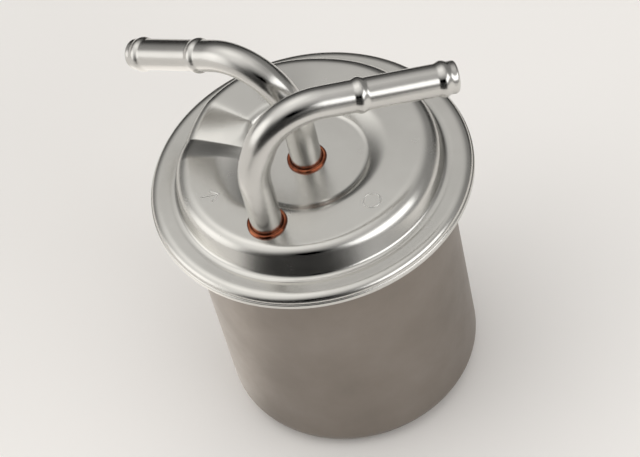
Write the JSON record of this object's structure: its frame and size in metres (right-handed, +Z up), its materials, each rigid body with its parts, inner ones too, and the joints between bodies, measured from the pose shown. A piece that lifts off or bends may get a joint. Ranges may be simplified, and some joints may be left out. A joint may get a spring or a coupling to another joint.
{
  "type": "fuel filter",
  "caption": "Sealed steel canister fuel filter with a stamped lid, rolled seam, bent hose pipes brazed on with copper, and a pleated paper element inside.",
  "frame": {"origin": "centre of the canister's flat bottom, on the canister's axis", "axes": "+Z up along the canister's axis towards the lid and pipes; +X along the straight end of the inlet pipe, seen from above"},
  "size_m": [0.088, 0.088, 0.1299],
  "materials": {
    "lid_steel": "satin plated stamped steel",
    "can_steel": "matte plated drawn steel",
    "pipe_steel": "bright plated steel tube",
    "copper_braze": "glossy copper braze",
    "tinplate": "tinplate",
    "strainer_mesh": "woven wire",
    "spring_steel": "oiled spring steel",
    "filter_paper": "resin-treated paper",
    "bonding_resin": "cured resin",
    "black_rubber": "moulded rubber"
  },
  "bodies": {
    "root": {"canister": "can_steel", "lid": "lid_steel", "seam_gasket": "black_rubber", "inlet_pipe": "pipe_steel", "outlet_pipe": "pipe_steel", "inlet_braze_ring": "copper_braze", "outlet_braze_ring": "copper_braze", "filter_paper": "filter_paper", "paper_seam_clip": "tinplate", "centre_tube": "tinplate", "strainer": "strainer_mesh", "upper_sealant": "bonding_resin", "lower_sealant": "bonding_resin", "upper_end_cap": "tinplate", "lower_end_cap": "tinplate", "outlet_grommet": "black_rubber", "grommet_washer": "tinplate", "support_plate": "tinplate", "element_spring": "spring_steel"}
  },
  "joints": []
}
